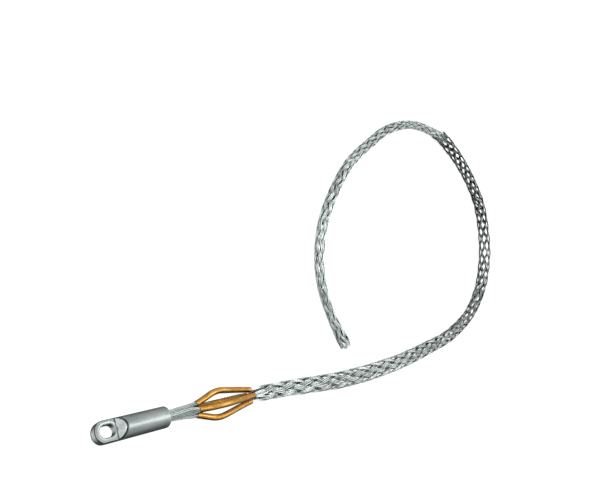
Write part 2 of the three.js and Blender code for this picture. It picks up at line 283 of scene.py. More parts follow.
BEND_SHARES = (-1, -0.33, 0.33, 1)
bend_stations = [TUBE_BEND + t * TUBE_BEND_REACH for t in BEND_SHARES]
lowest_sine = max(-math.sin(tube_angle(i)) for i in range(TUBE_COUNT))
cage_height = max(map(tube_offset_at, bend_stations)) * lowest_sine + tube_radius + CAGE_LIFT
HEIGHTS = [
    (EYE_LENGTH, EYE_RADIUS),
    (TUBE_BEND - TUBE_BEND_REACH, cage_height),
    (TUBE_BEND + TUBE_BEND_REACH, cage_height),
    (TUBE_END, cage_height - CAGE_SAG),
    (SLEEVE_REST_START, profile_at(COARSE_RADIUS, SLEEVE_REST_START)),
]


def height_at(s):
    if s < SLEEVE_REST_START:
        return profile_at(HEIGHTS, s)
    if s < COARSE_END:
        return profile_at(COARSE_RADIUS, s)
    return profile_at([COARSE_RADIUS[-1]] + FINE_RADIUS, s)


def route_samples(points, per_span=24):
    """Points along a centripetal Catmull-Rom curve."""
    p = np.array(points, float)
    p = np.vstack([2 * p[0] - p[1], p, 2 * p[-1] - p[-2]])
    out = []
    for i in range(len(p) - 3):
        p0, p1, p2, p3 = p[i : i + 4]
        d0, d1, d2 = (math.sqrt(np.linalg.norm(b - a)) for a, b in ((p0, p1), (p1, p2), (p2, p3)))
        m1 = d1 * ((p1 - p0) / d0 - (p2 - p0) / (d0 + d1) + (p2 - p1) / d1)
        m2 = d1 * ((p2 - p1) / d1 - (p3 - p1) / (d1 + d2) + (p3 - p2) / d2)
        for t in np.arange(per_span) / per_span:
            a = 2 * t**3 - 3 * t**2 + 1
            b = t**3 - 2 * t**2 + t
            c = -2 * t**3 + 3 * t**2
            out.append(a * p1 + b * m1 + c * p2 + (t**3 - t**2) * m2)
    out.append(p[-2])
    return np.array(out)


samples = route_samples(ROUTE)
lengths = np.concatenate([[0], np.cumsum(np.linalg.norm(np.diff(samples, axis=0), axis=1))])
route_length = lengths[-1]
slopes = np.gradient(samples, lengths, axis=0)
slopes /= np.linalg.norm(slopes, axis=1)[:, None]
heights = np.array([height_at(s) for s in lengths])


def points_at(s, across, over):
    """Points in metres at lengths s along the grip, across to its left and over its centre line."""
    x, y = (np.interp(s, lengths, samples[:, i]) for i in (0, 1))
    tx, ty = (np.interp(s, lengths, slopes[:, i]) for i in (0, 1))
    z = np.interp(s, lengths, heights) + over
    return np.stack([x - ty * across, y + tx * across, z], axis=-1) * MM


def point_at(s, across, over):
    return Vector(points_at(s, across, over))


# Materials


def new_material(name, metallic=0):
    material = bpy.data.materials.new(name)
    material.use_nodes = True
    tree = material.node_tree
    shader = tree.nodes["Principled BSDF"]
    shader.inputs["Metallic"].default_value = metallic
    shader.inputs["Specular IOR Level"].default_value = 0
    return material, tree, shader


def add_node(tree, kind, **inputs):
    made = tree.nodes.new(kind)
    for name, value in inputs.items():
        made.inputs[name.replace("_", " ")].default_value = value
    return made


def noise(tree, coordinate, scale, detail=4, roughness=0.6):
    made = add_node(tree, "ShaderNodeTexNoise", Scale=scale, Detail=detail, Roughness=roughness)
    tree.links.new(coordinate, made.inputs["Vector"])
    return made.outputs["Fac"]


def scaled(tree, coordinate, scale):
    made = add_node(tree, "ShaderNodeMapping", Scale=scale)
    tree.links.new(coordinate, made.inputs["Vector"])
    return made.outputs["Vector"]


def attribute(tree, name):
    made = tree.nodes.new("ShaderNodeAttribute")
    made.attribute_name = name
    return made.outputs["Fac"]


def ramp(tree, factor, stops):
    made = tree.nodes.new("ShaderNodeValToRGB")
    while len(made.color_ramp.elements) < len(stops):
        made.color_ramp.elements.new(0.5)
    for element, (place, colour) in zip(made.color_ramp.elements, stops):
        element.position = place
        element.color = (*colour, 1)
    tree.links.new(factor, made.inputs["Fac"])
    return made.outputs["Color"]


def calc(tree, operation, *values):
    made = tree.nodes.new("ShaderNodeMath")
    made.operation = operation
    for socket, value in zip(made.inputs, values):
        if isinstance(value, (int, float)):
            socket.default_value = value
        else:
            tree.links.new(value, socket)
    return made.outputs[0]


def weighted(tree, *terms):
    """The sum of (value, weight) pairs and of plain numbers."""
    total = None
    for term in terms:
        part = calc(tree, "MULTIPLY", *term) if isinstance(term, tuple) else term
        total = part if total is None else calc(tree, "ADD", total, part)
    return total


# How lit a point is painted: 1 less its painted shade
def lit_share(tree):
    return calc(tree, "SUBTRACT", 1, attribute(tree, "shelter"))


def bump(tree, height, strength, distance, normal=None):
    made = add_node(tree, "ShaderNodeBump", Strength=strength, Distance=distance)
    tree.links.new(height, made.inputs["Height"])
    if normal:
        tree.links.new(normal, made.inputs["Normal"])
    return made.outputs["Normal"]


def wire_rope_material(name, dark, middle, bright, metallic):
    """Twisted strands. UV counts turns of the lay along and round a rope; the painted shade value is 1
    deep inside a bundle, where the rope is painted darkest.
    """
    material, tree, shader = new_material(name, metallic)
    link = tree.links.new
    coordinates = tree.nodes.new("ShaderNodeTexCoord")
    split = tree.nodes.new("ShaderNodeSeparateXYZ")
    link(coordinates.outputs["UV"], split.inputs[0])
    twist = calc(tree, "ADD", split.outputs["X"], split.outputs["Y"])
    wave = calc(tree, "SINE", calc(tree, "MULTIPLY", twist, math.pi * STRANDS))
    strand = calc(tree, "ABSOLUTE", wave)
    patches = noise(tree, coordinates.outputs["Object"], scale=160)
    tone = weighted(
        tree,
        (lit_share(tree), 0.72),
        (patches, 0.2),
        (attribute(tree, "shade"), 0.22),
        (strand, 0.06),
        -0.13,
    )
    stops = [(0.08, dark), (0.42, middle), (0.82, bright)]
    link(ramp(tree, tone, stops), shader.inputs["Base Color"])
    link(weighted(tree, (patches, 0.25), 0.32), shader.inputs["Roughness"])
    link(bump(tree, strand, strength=0.2, distance=0.1 * MM), shader.inputs["Normal"])
    return material


def steel_material():
    """Galvanised bar, dull where the zinc is thick, with painted shade on the side turned from the light
    and painted highlights and painted shade at its edges and creases.
    """
    material, tree, shader = new_material("galvanised_steel", metallic=0.4)
    link = tree.links.new
    place = tree.nodes.new("ShaderNodeTexCoord").outputs["Object"]
    clouds = noise(tree, scaled(tree, place, (1, 3, 3)), scale=45)
    grain = noise(tree, place, scale=900, detail=2)
    tone = weighted(
        tree,
        (lit_share(tree), 0.85),
        (clouds, 0.42),
        (grain, 0.16),
        (attribute(tree, "rub"), 0.4),
        -0.54,
    )
    stops = [
        (0.05, (0.016, 0.02, 0.019)),
        (0.3, (0.11, 0.126, 0.124)),
        (0.6, (0.27, 0.3, 0.295)),
        (0.9, (0.55, 0.6, 0.59)),
    ]
    link(ramp(tree, tone, stops), shader.inputs["Base Color"])
    link(weighted(tree, (clouds, 0.2), 0.34), shader.inputs["Roughness"])
    fine_grain = bump(tree, grain, strength=0.12, distance=0.05 * MM)
    dents = bump(tree, clouds, strength=0.1, distance=0.2 * MM, normal=fine_grain)
    link(dents, shader.inputs["Normal"])
    return material


def brass_material():
    """Drawn tube, golden, browned in patches and in streaks along it, with painted shade on the side
    turned from the light and inside the cage.
    """
    material, tree, shader = new_material("tube_brass", metallic=0.5)
    link = tree.links.new
    coordinates = tree.nodes.new("ShaderNodeTexCoord")
    streaks = noise(tree, scaled(tree, coordinates.outputs["UV"], (1.2, 6, 1)), scale=3, detail=1)
    patches = noise(tree, coordinates.outputs["Object"], scale=120)
    tone = weighted(tree, (lit_share(tree), 0.9), (streaks, 0.24), (patches, 0.34), -0.52)
    stops = [
        (0.19, (0.03, 0.007, 0.003)),
        (0.38, (0.19, 0.075, 0.012)),
        (0.62, (0.4, 0.19, 0.03)),
        (0.86, (0.76, 0.43, 0.13)),
    ]
    link(ramp(tree, tone, stops), shader.inputs["Base Color"])
    shader.inputs["Roughness"].default_value = 0.36
    link(bump(tree, streaks, strength=0.04, distance=0.1 * MM), shader.inputs["Normal"])
    return material


weave_rope = wire_rope_material(
    "weave_steel",
    dark=(0.012, 0.018, 0.015),
    middle=(0.2, 0.23, 0.22),
    bright=(0.8, 0.885, 0.855),
    metallic=0.35,
)
steel = steel_material()
brass = brass_material()


# Meshes


def add_piece(name, mesh, material, nodes):
    mesh.materials.clear()
    mesh.materials.append(material)
    mesh.polygons.foreach_set("use_smooth", [True] * len(mesh.polygons))
    piece = bpy.data.objects.new(name, mesh)
    bpy.context.scene.collection.objects.link(piece)
    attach(piece, "root")
    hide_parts(*nodes)


def tube_rings(path, radii, sides):
    """Rings of points round a path, turned as little as possible from one to the next."""
    tangents = np.gradient(path, axis=0)
    tangents /= np.linalg.norm(tangents, axis=1)[:, None]
    side = np.cross(tangents[0], (0, 0, 1))
    angles = np.arange(sides) * 2 * np.pi / sides
    rings = []
    for here, tangent, radius in zip(path, tangents, radii):
        side = side - tangent * side.dot(tangent)
        side /= np.linalg.norm(side)
        other = np.cross(tangent, side)
        ring = np.cos(angles)[:, None] * side + np.sin(angles)[:, None] * other
        rings.append(here + radius * ring)
    return np.array(rings)


def grid_faces(rows, sides, base, closed):
    """Quads that join rings of points, each to the next and, if closed, the last to the first."""
    faces = []
    for k in range(rows if closed else rows - 1):
        a = base + k * sides
        b = base + (k + 1) % rows * sides
        faces.extend((a + i, a + (i + 1) % sides, b + (i + 1) % sides, b + i) for i in range(sides))
    return faces


def grid_uvs(turns, sides):
    """UVs for those quads: turns counts along, and the way round goes from 0 to 1."""
    uvs = []
    for u0, u1 in zip(turns, turns[1:]):
        for i in range(sides):
            v0, v1 = i / sides, (i + 1) / sides
            uvs.extend([(u0, v0), (u0, v1), (u1, v1), (u1, v0)])
    return uvs


def set_values(mesh, **values):
    for key, numbers in values.items():
        made = mesh.attributes.new(key, "FLOAT", "POINT")
        made.data.foreach_set("value", np.asarray(numbers, np.float32))


def mesh_of(name, points, faces, uvs, **values):
    """A mesh with UVs for each face corner and named values for each point."""
    mesh = bpy.data.meshes.new(name)
    mesh.from_pydata(np.asarray(points).tolist(), [], faces)
    layer = mesh.uv_layers.new(name="along_and_round")
    layer.data.foreach_set("uv", np.asarray(uvs, np.float32).ravel())
    set_values(mesh, **values)
    mesh.update()
    return mesh


def ropes_mesh(name, ropes):
    """One mesh of round ropes, each given by its lengths s, offsets, painted-shade radii and shades."""
    points, faces, uvs, shelters, shades = [], [], [], [], []
    for s, across, over, outer, shade in ropes:
        path = points_at(s, across, over)
        centres = points_at(s, 0 * s, 0 * s)
        rings = tube_rings(path, [rope_radius * MM] * len(path), ROPE_SIDES)
        turns = np.concatenate([[0], np.cumsum(np.linalg.norm(np.diff(path, axis=0), axis=1))])
        turns /= ROPE_LAY * MM
        base = len(points)
        points.extend(rings.reshape(-1, 3))
        faces.extend(grid_faces(len(rings), ROPE_SIDES, base, closed=False))
        uvs.extend(grid_uvs(turns, ROPE_SIDES))
        last = len(points) - ROPE_SIDES
        faces.append(tuple(base + i for i in reversed(range(ROPE_SIDES))))
        faces.append(tuple(last + i for i in range(ROPE_SIDES)))
        uvs.extend([(0, 0)] * (2 * ROPE_SIDES))
        # Painted shade: darker the deeper a point lies under the outer radius of the bundle or sleeve
        reach = np.linalg.norm(rings - centres[:, None], axis=2) / MM
        shelters.extend(np.clip((outer[:, None] - reach) / PAINTED_SHADE_SPAN, 0, 1).ravel())
        shades.extend(np.repeat(shade, ROPE_SIDES))
    return mesh_of(name, points, faces, uvs, shelter=shelters, shade=shades)


# The weave: bands of ropes wind both ways round the sleeve and cross over and under at every row


def row_places(start, end, row_length_at):
    places = [start]
    while places[-1] < end:
        places.append(places[-1] + row_length_at(places[-1]))
    share = (end - start) / (places[-1] - start)
    return [start + (s - start) * share for s in places]


def wander(draw, sizes):
    """A smooth random function of length: a sum of waves given as (wavelength, height) pairs."""
    full = 2 * math.pi
    waves = [(full / length, height, draw.uniform(0, full)) for length, height in sizes]
    return lambda s: sum(height * np.sin(rate * s + phase) for rate, height, phase in waves)


class Weave:
    """A sleeve of bands of ropes, with its rows of crossings between start and end.

    On the inner side of the bend, the loops at its end reach further by end_slant and lie closer to its
    centre line by end_taper.
    """

    def __init__(
        self, start, end, row_length_at, radius_at, band_pitch, darkening, seed, end_slant=0, end_taper=0
    ):
        self.places = row_places(start, end, row_length_at)
        self.rows = len(self.places) - 1
        self.start = start
        self.end = end
        self.end_slant = end_slant
        self.end_taper = end_taper
        self.radius_at = radius_at
        self.pitch_at = lambda s: profile_at(band_pitch, s)
        self.darkening = darkening
        draw = random.Random(seed)
        bands = [(direction, band) for direction in (1, -1) for band in range(CELLS_AROUND)]
        ropes = [(band, i) for band in range(CELLS_AROUND) for i in range(BAND_ROPES)]
        self.band_shift = {key: wander(draw, BAND_WANDER) for key in bands}
        self.rope_shift = {(way, *key): wander(draw, ROPE_WANDER) for way in (1, -1) for key in ropes}
        self.shades = {key: draw.random() for key in ropes}
        self.loop_start = float(self.length_at(self.rows - LOOP_ROWS))

    def outer(self, s):
        return np.array([self.radius_at(x) for x in np.atleast_1d(s)]) - WEAVE_INSET

    def row_at(self, s):
        return np.interp(s, self.places, range(len(self.places)))

    def length_at(self, row):
        return np.interp(row, range(len(self.places)), self.places)

    def place(self, direction, band, rope, s):
        """Angle and radius of a rope's centre at lengths s."""
        row = self.row_at(s)
        middle = self.outer(s) - ROPE_DIAMETER
        turned = row - STRAIGHTEN * np.sin(2 * np.pi * row) / (2 * np.pi)
        pitches = np.array([self.pitch_at(x) for x in s])
        shift = (rope - (BAND_ROPES - 1) / 2) * pitches
        fade_in = smoothstep(s, self.start, self.start + WANDER_FADE)
        fade_out = smoothstep(s, self.end, self.end - WANDER_FADE)
        wandering = self.band_shift[direction, band](s) + self.rope_shift[direction, band, rope](s)
        shift += fade_in * fade_out * wandering
        angle = (1 + 2 * band + direction * turned) * half_cell + math.radians(LATTICE_TURN)
        return angle + shift / middle, middle + direction * np.cos(np.pi * row) * rope_radius

    def partner(self, band):
        """The band of the other way that a band meets at the end, where the ropes turn back."""
        return (band + self.rows) % CELLS_AROUND

    def loop(self, band, rope):
        """Lengths, angles and radii round the loop from a rope of one band to its partner's."""
        other = BAND_ROPES - 1 - rope
        start = self.loop_start
        here = np.array([start])
        near, near_radius = (float(v[0]) for v in self.place(1, band, rope, here))
        far, far_radius = (float(v[0]) for v in self.place(-1, self.partner(band), other, here))
        far = near + (far - near) % (2 * math.pi)
        inner = (1 + math.cos((near + far) / 2)) / 2
        length = self.end - rope_radius + self.end_slant * inner - start - rope * LOOP_STEP
        t = np.linspace(0, np.pi, LOOP_STATIONS)
        share = (1 - np.cos(t)) / 2
        radii = lerp(near_radius, far_radius, share) - self.end_taper * inner * np.sin(t) ** 2
        return start + length * np.sin(t), lerp(near, far, share), radii


def mouth_flare_at(s):
    return MOUTH_FLARE * smoothstep(s, route_length - MOUTH_FLARE_LENGTH, route_length)


coarse = Weave(
    start=TUBE_END + ROPE_TAIL + TOUCH_GAP,
    end=COARSE_END,
    row_length_at=lambda s: profile_at(COARSE_ROW, s),
    radius_at=lambda s: profile_at(COARSE_RADIUS, s),
    band_pitch=COARSE_BAND_PITCH,
    darkening=COARSE_DARKENING,
    seed=SEED,
    end_slant=COARSE_END_SLANT,
    end_taper=COARSE_END_TAPER,
)
fine = Weave(
    start=COARSE_END - FINE_SHOWN,
    end=route_length,
    row_length_at=lambda s: FINE_ROW,
    radius_at=lambda s: profile_at(FINE_RADIUS, s) + mouth_flare_at(s),
    band_pitch=FINE_BAND_PITCH,
    darkening=FINE_DARKENING,
    seed=SEED + 1,
)


def seats():
    """Where each of a tube's ropes sits in the neck and in the tube, as (reach, turn) pairs."""
    per_rope = 360 / (ROPES_PER_TUBE - 1)
    for ring, (each, radius) in enumerate(NECK_RINGS):
        for i in range(each):
            place = i - (each - 1) / 2
            neck = (radius, math.radians(place * 360 / (TUBE_COUNT * each)))
            if ring == 1 and place == 0:
                yield neck, (0, 0)
                continue
            turn = (180, 180 - per_rope * abs(place), per_rope * abs(place))[ring]
            yield neck, (tube_rope_ring, math.copysign(math.radians(turn), place))


def signed_turn(a, b):
    return (a - b + math.pi) % (2 * math.pi) - math.pi


def assign_seats():
    """Which tube and seat each rope comes from, by the angle at which it enters the weave."""
    entry = np.array([coarse.start + FAN_LENGTH / 2])
    ends = []
    for direction in (1, -1):
        for band in range(CELLS_AROUND):
            for rope in range(BAND_ROPES):
                angle, _ = coarse.place(direction, band, rope, entry)
                ends.append((float(angle[0]) % (2 * math.pi), direction, band, rope))
    order = sorted(seats(), key=lambda seat: seat[1][0] * math.sin(seat[1][1]))
    chosen = {}
    for tube in range(TUBE_COUNT):
        ends.sort(key=lambda end: abs(signed_turn(end[0], tube_angle(tube))))
        mine, ends = ends[:ROPES_PER_TUBE], ends[ROPES_PER_TUBE:]
        mine.sort(key=lambda end: signed_turn(end[0], tube_angle(tube)))
        for (_, direction, band, rope), seat in zip(mine, order):
            chosen[direction, band, rope] = (tube, seat)
    return chosen


SEAT_OF = assign_seats()


def held_place(tube, seat, s):
    """Offsets across and over of a rope in the neck and in its tube, at one length s."""
    (neck_reach, neck_turn), (reach, turn) = seat
    angle = tube_angle(tube)
    blend = smoothstep(s, NECK_SPREAD_START, TUBE_START)
    offset = tube_offset_at(max(s, TUBE_START))
    twist = math.radians(NECK_TWIST) * (1 - smoothstep(s, NECK_TWIST_START, TUBE_START))
    neck_angle = angle + neck_turn + twist
    neck_reach *= 1 + NECK_GROWTH * np.clip((s - EYE_LENGTH) / (TUBE_START - EYE_LENGTH), 0, 1)
    across = offset * math.cos(angle) + reach * math.cos(angle + turn)
    over = offset * math.sin(angle) + reach * math.sin(angle + turn)
    return (
        lerp(neck_reach * math.cos(neck_angle), across, blend),
        lerp(neck_reach * math.sin(neck_angle), over, blend),
    )


def held_outer(s):
    """Radius under which the inner ropes of the bundle get painted shade, before the weave."""
    spread = tube_offset_at(max(s, TUBE_START)) + tube_bore
    return lerp(neck_radius, spread, smoothstep(s, NECK_SPREAD_START, TUBE_START)) * NECK_SHADE_SHARE


def neck_leg(direction, band, rope):
    """Lengths, offsets and painted-shade radii of a rope from the eye's bore until it is in the weave.
    """
    tube, seat = SEAT_OF[direction, band, rope]
    floor = EYE_LENGTH - BORE_DEPTH + TOUCH_GAP
    in_bore = np.linspace(floor, EYE_LENGTH, BORE_STATIONS)[:-1]
    stations = np.concatenate([in_bore, np.linspace(EYE_LENGTH, TUBE_END, NECK_STATIONS)])
    held = [held_place(tube, seat, s) for s in stations]
    outer = [held_outer(s) for s in stations]
    fan = np.linspace(TUBE_END, TUBE_END + FAN_LENGTH, FAN_STATIONS)[1:]
    angles, radii = coarse.place(direction, band, rope, fan)
    for s, angle, radius in zip(fan, angles, radii):
        blend = smoothstep(s, TUBE_END, TUBE_END + FAN_LENGTH)
        straight = np.array(held_place(tube, seat, min(s, TUBE_END + FAN_STRAIGHT)))
        woven = np.array([math.cos(angle), math.sin(angle)]) * radius
        held.append(tuple(lerp(straight, woven, blend)))
        outer.append(lerp(held_outer(TUBE_END), coarse.radius_at(s), blend))
    across, over = np.array(held).T
    return np.concatenate([stations, fan]), across, over, np.array(outer)


def woven_leg(weave, direction, band, rope, start):
    """Lengths, offsets and painted-shade radii of a rope in the weave, up to where its loop begins."""
    low = float(weave.row_at(start))
    rows = np.linspace(low, weave.rows - LOOP_ROWS, round((weave.rows - low) * STATIONS_PER_ROW))
    s = weave.length_at(rows)
    s = s[(s > start) & (s < weave.loop_start)]
    angles, radii = weave.place(direction, band, rope, s)
    return s, radii * np.cos(angles), radii * np.sin(angles), weave.outer(s)


def folded_rope(weave, band, rope, leg_start, first_leg):
    """A rope that runs out along one band, turns back at the end and returns along its partner."""
    partner = weave.partner(band)
    other = BAND_ROPES - 1 - rope
    out = woven_leg(weave, 1, band, rope, leg_start)
    back = woven_leg(weave, -1, partner, other, leg_start)
    s, angles, radii = weave.loop(band, rope)
    loop = (s, radii * np.cos(angles), radii * np.sin(angles), radii + rope_radius)
    legs = [out, loop, tuple(values[::-1] for values in back)]
    if first_leg:
        legs.insert(0, first_leg(1, band, rope))
        legs.append(tuple(values[::-1] for values in first_leg(-1, partner, other)))
    s, across, over, outer = (np.concatenate(parts) for parts in zip(*legs))
    shades = [weave.shades[band, rope] - profile_at(weave.darkening, x) for x in s]
    return s, across, over + mouth_flare_at(s), outer, shades


def add_band(name, weave, band, leg_start, first_leg, nodes):
    ropes = [folded_rope(weave, band, i, leg_start, first_leg) for i in range(BAND_ROPES)]
    add_piece(name, ropes_mesh(name, ropes), weave_rope, nodes)


def build_weaves():
    count = ROPES_PER_TUBE * TUBE_COUNT // CELLS_AROUND
    for band in range(CELLS_AROUND):
        nodes = [f"wire_rope_{band * count + i + 1:02d}" for i in range(count)] + ["coarse_sleeve"]
        add_band(f"wire_band_{band + 1}", coarse, band, TUBE_END + FAN_LENGTH, neck_leg, nodes)
    for band in range(CELLS_AROUND):
        add_band(f"fine_band_{band + 1}", fine, band, fine.start, None, ["fine_sleeve"])


TUBE_SECTION = 28
TUBE_STATIONS = 56
TUBE_CRIMP = 0.12
CRIMP_INSET = 5
CRIMP_PLACES = (TUBE_START + CRIMP_INSET, TUBE_END - CRIMP_INSET)
CRIMP_REACH = 3

# Painted shade on the tubes: its level, how much less on the side the light comes from, and how much
# more inside the cage
TUBE_SHADE = 1.2
TUBE_SHADE_TURN = 1.45
TUBE_SHADE_INSIDE = 0.3


def crimp_at(s):
    """How much narrower a tube is at s, where it was pressed onto its ropes near its ends."""
    return TUBE_CRIMP * sum(math.exp(-(((s - place) / CRIMP_REACH) ** 2)) for place in CRIMP_PLACES)


def build_tubes():
    stations = np.linspace(TUBE_START, TUBE_END, TUBE_STATIONS)
    offsets = np.array([tube_offset_at(s) for s in stations])
    narrowing = np.array([crimp_at(s) for s in stations])
    centres = points_at(stations, 0 * stations, 0 * stations)
    for index in range(TUBE_COUNT):
        angle = tube_angle(index)
        path = points_at(stations, offsets * math.cos(angle), offsets * math.sin(angle))
        outside = tube_rings(path, (tube_radius - narrowing) * MM, TUBE_SECTION)
        inside = tube_rings(path, (tube_bore - narrowing) * MM, TUBE_SECTION)
        rings = np.concatenate([outside, inside[::-1]])
        axes = np.concatenate([centres, centres[::-1]])
        paths = np.concatenate([path, path[::-1]])
        inward = axes - paths
        inward /= np.linalg.norm(inward, axis=1)[:, None]
        facing = (rings - paths[:, None]) / (tube_radius * MM)
        # Painted shade: more on what faces the inside of the cage and on what turns from the light
        hidden = np.clip((facing * inward[:, None]).sum(axis=2), 0, 1) * TUBE_SHADE_INSIDE
        shelter = np.clip(TUBE_SHADE - TUBE_SHADE_TURN * facing @ LIT_SIDE + hidden, 0, 1)
        faces = grid_faces(len(rings), TUBE_SECTION, 0, closed=True)
        uvs = grid_uvs(np.arange(len(rings) + 1) / TUBE_STATIONS, TUBE_SECTION)
        name = f"brass_tube_{index + 1}"
        mesh = mesh_of(name, rings.reshape(-1, 3), faces, uvs, shelter=shelter.ravel())
        add_piece(name, mesh, brass, [f"spreader_tube_{index + 1}"])


# The pulling eye, built along X from its tip, then cut, remeshed and smoothed so that its edges are soft

LATHE_SEGMENTS = 96
ARC_STEPS = 24
TIP_STEPS = 48
REAR_EDGE_STEPS = 10
FLARE_STEPS = 8
REMESH_VOXEL = 0.34
SMOOTH_FACTOR = 0.5
SMOOTH_ROUNDS = 4
CUTTER_MARGIN = 1
CUTTER_OVERLAP = 0.01
FLARE_INSET = 0.02

# Painted highlights and painted shade on the eye: how much each kind adds, and then where it begins and
# where it is full
PAINTED_LIGHT_WEIGHTS = {
    "mouth": 0.6,
    "flat": -0.25,
    "facet": 0.25,
    "rim": 0.4,
    "crease": -1.6,
    "shadow": -1.5,
    "below": -2.2,
}
MOUTH_REACH = (SLOT_ROUNDING + 0.6, SLOT_ROUNDING + 0.2)
MOUTH_HEIGHT = (-1.4, -0.7)
TAB_REACH = (TAB_LENGTH + 0.4, TAB_LENGTH)
FLAT_HEIGHT = (-0.5, -0.15)
FACET_HEIGHT = (-0.1, 0.3)
FACET_WIDTH = (0.6, 0.2)
RIM_REACH = (EYE_LENGTH - REAR_EDGE_RADIUS - 1, EYE_LENGTH - 1)
CREASE_WIDTH = (0.7, 0.2)
SHADOW_FRONT = (0.4, 0.7)
SHADOW_REAR = (3.6, 1.4)
SHADOW_HEIGHT = (-0.8, 0)
SIDE_REACH = (EYE_RADIUS - 1.3, EYE_RADIUS - 0.9)
SIDE_BOTTOM = (-1.8, -1.1)
SIDE_TOP = (-0.1, -0.5)

# Painted shade on the eye: its level, how much less it is on the side the light comes from and on the
# front, and its least, below 0, where it becomes painted light
EYE_SHADE = 0.98
EYE_SHADE_TURN = 1.05
EYE_SHADE_FRONT = 1.4
EYE_SHADE_LEAST = -0.4
FRONT_SHARPNESS = 4


def skin_between(body, first, second):
    """Faces between two rings of corners, either of which may be a single point."""
    count = max(len(first), len(second))
    for i in range(count):
        j = (i + 1) % count
        near = [first[k % len(first)] for k in (i, j)]
        far = [second[k % len(second)] for k in (j, i)]
        corners = list(dict.fromkeys(near + far))
        if len(corners) > 2:
            body.faces.new(corners)


def lathe(profile):
    """A closed body turned about X from (x, radius) pairs that start and end on the axis."""
    body = bmesh.new()
    angles = [2 * math.pi * i / LATHE_SEGMENTS for i in range(LATHE_SEGMENTS)]
    rings = []
    for x, radius in profile:
        around = [(radius * math.cos(a), radius * math.sin(a)) for a in (angles if radius else [0])]
        rings.append([body.verts.new((x, y, z)) for y, z in around])
    for first, second in zip(rings, rings[1:]):
        skin_between(body, first, second)
    bmesh.ops.recalc_face_normals(body, faces=body.faces)
    return body


def stack(outlines):
    """A closed body through outlines with equal numbers of points, each given as (z, points)."""
    body = bmesh.new()
    rings = [[body.verts.new((x, y, z)) for x, y in outline] for z, outline in outlines]
    body.faces.new(rings[0])
    body.faces.new(rings[-1])
    for first, second in zip(rings, rings[1:]):
        skin_between(body, first, second)
    bmesh.ops.recalc_face_normals(body, faces=body.faces)
    return body


def arc(cx, cy, radius, start, end, count=ARC_STEPS):
    angles = [math.radians(lerp(start, end, i / count)) for i in range(count + 1)]
    return [(cx + radius * math.cos(a), cy + radius * math.sin(a)) for a in angles]


def slot_outline(grow):
    r = SLOT_WIDTH / 2
    low = SLOT_TIP_WALL + r
    high = TAB_LENGTH - SLOT_END_WALL - r
    return arc(low, 0, r + grow, 90, 270) + arc(high, 0, r + grow, -90, 90)


def loose_object(name, body):
    mesh = bpy.data.meshes.new(name)
    body.to_mesh(mesh)
    body.free()
    made = bpy.data.objects.new(name, mesh)
    bpy.context.scene.collection.objects.link(made)
    return made


def apply_modifiers(target):
    graph = bpy.context.evaluated_depsgraph_get()
    mesh = bpy.data.meshes.new_from_object(target.evaluated_get(graph))
    target.modifiers.clear()
    target.data = mesh


def combine(target, cutter, operation="DIFFERENCE"):
    modifier = target.modifiers.new("cut", "BOOLEAN")
    modifier.operation = operation
    modifier.solver = "MANIFOLD"
    modifier.object = cutter
    apply_modifiers(target)
    bpy.data.objects.remove(cutter)


def flare():
    """The rounded mouth of the slot on its upper face: outlines that widen towards the face."""
    outlines = []
    for k in range(FLARE_STEPS + 1):
        angle = k / FLARE_STEPS * math.pi / 2
        grow = SLOT_ROUNDING * (1 - math.cos(angle)) - FLARE_INSET
        height = TAB_THICKNESS / 2 - SLOT_ROUNDING * (1 - math.sin(angle))
        outlines.append((height, slot_outline(grow)))
    outlines.append((TAB_THICKNESS / 2 + 3 * CUTTER_MARGIN, slot_outline(SLOT_ROUNDING)))
    return stack(outlines)


def vertex_values(vertices, key):
    values = np.empty(len(vertices) * 3)
    vertices.foreach_get(key, values)
    return values.reshape(-1, 3)


def painted_light_at(points):
    """Painted light on the eye, in its own frame: above 0 for painted highlights on the slot's mouth,
    the shoulder facet and the rear rim, below 0 for painted shade in the crease, a painted shadow behind
    the facet and painted shade along the tab's side, and a little below 0 on the flat faces.
    """
    x, y, z = points.T
    over = abs(z) - TAB_THICKNESS / 2
    behind = x - TAB_LENGTH - over * math.tan(math.radians(SHOULDER_SLOPE))
    r = SLOT_WIDTH / 2
    nearest = np.clip(x, SLOT_TIP_WALL + r, TAB_LENGTH - SLOT_END_WALL - r)
    reach = np.hypot(x - nearest, y) - r
    on_tab = smoothstep(x, *TAB_REACH)
    side = smoothstep(np.hypot(np.minimum(x - EYE_RADIUS, 0), y), *SIDE_REACH)
    in_shadow = smoothstep(behind, *SHADOW_FRONT) * smoothstep(behind, *SHADOW_REAR)
    shares = {
        "mouth": smoothstep(reach, *MOUTH_REACH) * smoothstep(over, *MOUTH_HEIGHT),
        "flat": on_tab * smoothstep(over, *FLAT_HEIGHT),
        "facet": smoothstep(over, *FACET_HEIGHT) * smoothstep(abs(behind), *FACET_WIDTH),
        "rim": smoothstep(x, *RIM_REACH),
        "crease": smoothstep(abs(x - TAB_LENGTH), *CREASE_WIDTH) * smoothstep(abs(over), *CREASE_WIDTH),
        "shadow": in_shadow * smoothstep(over, *SHADOW_HEIGHT),
        "below": on_tab * side * smoothstep(over, *SIDE_BOTTOM) * smoothstep(over, *SIDE_TOP),
    }
    return sum(PAINTED_LIGHT_WEIGHTS[name] * share for name, share in shares.items())


def turned_bar():
    """The bar that the eye is made from, with its bore and its rounded rear edge."""
    inner = EYE_RADIUS - REAR_EDGE_RADIUS
    rear = arc(EYE_LENGTH - REAR_EDGE_RADIUS, inner, REAR_EDGE_RADIUS, 90, 0, REAR_EDGE_STEPS)
    floor = EYE_LENGTH - BORE_DEPTH
    bore = [(EYE_LENGTH, bore_radius), (floor, bore_radius), (floor, 0)]
    return loose_object("pulling_eye_dressed", lathe([(0, 0), (0, EYE_RADIUS), *rear, *bore]))


